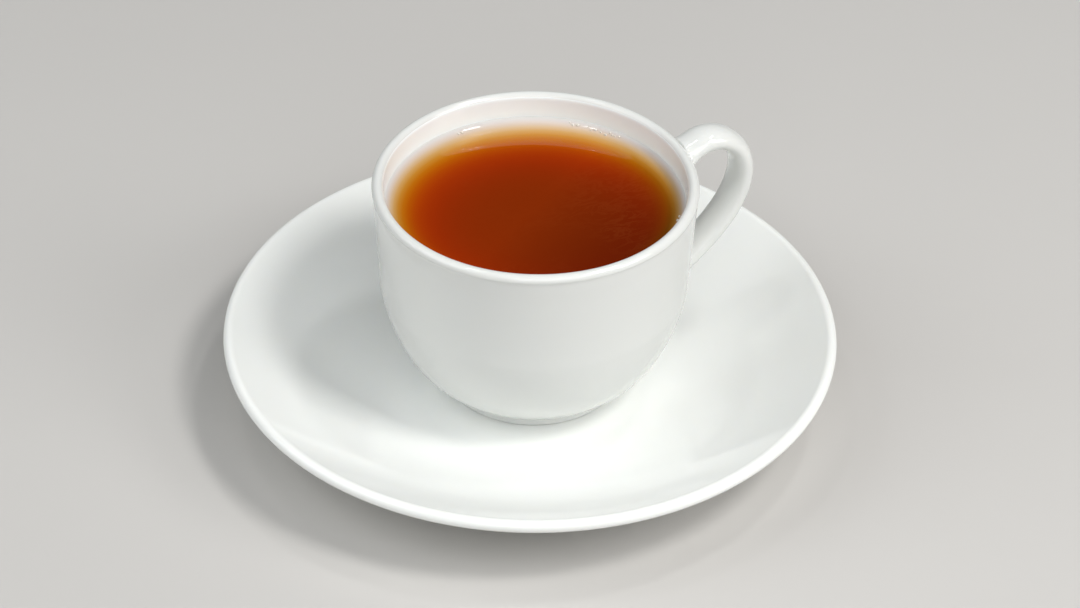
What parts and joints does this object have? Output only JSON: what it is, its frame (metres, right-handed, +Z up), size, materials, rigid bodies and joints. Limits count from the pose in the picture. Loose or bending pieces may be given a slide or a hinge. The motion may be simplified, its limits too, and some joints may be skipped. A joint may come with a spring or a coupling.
{
  "type": "cup of black tea",
  "caption": "White porcelain teacup with a loop handle, filled with black tea, standing on its coupe saucer.",
  "frame": {"origin": "on the saucer's axis, at the plane that the saucer's foot ring stands on", "axes": "+Z up along the cup's height, +X from the cup towards its handle"},
  "size_m": [0.15, 0.15, 0.0651],
  "materials": {
    "saucer_porcelain": "gloss",
    "cup_porcelain": "gloss",
    "black_tea": "polished"
  },
  "bodies": {
    "root": {"saucer": "saucer_porcelain", "cup": "cup_porcelain", "tea": "black_tea"}
  },
  "joints": []
}
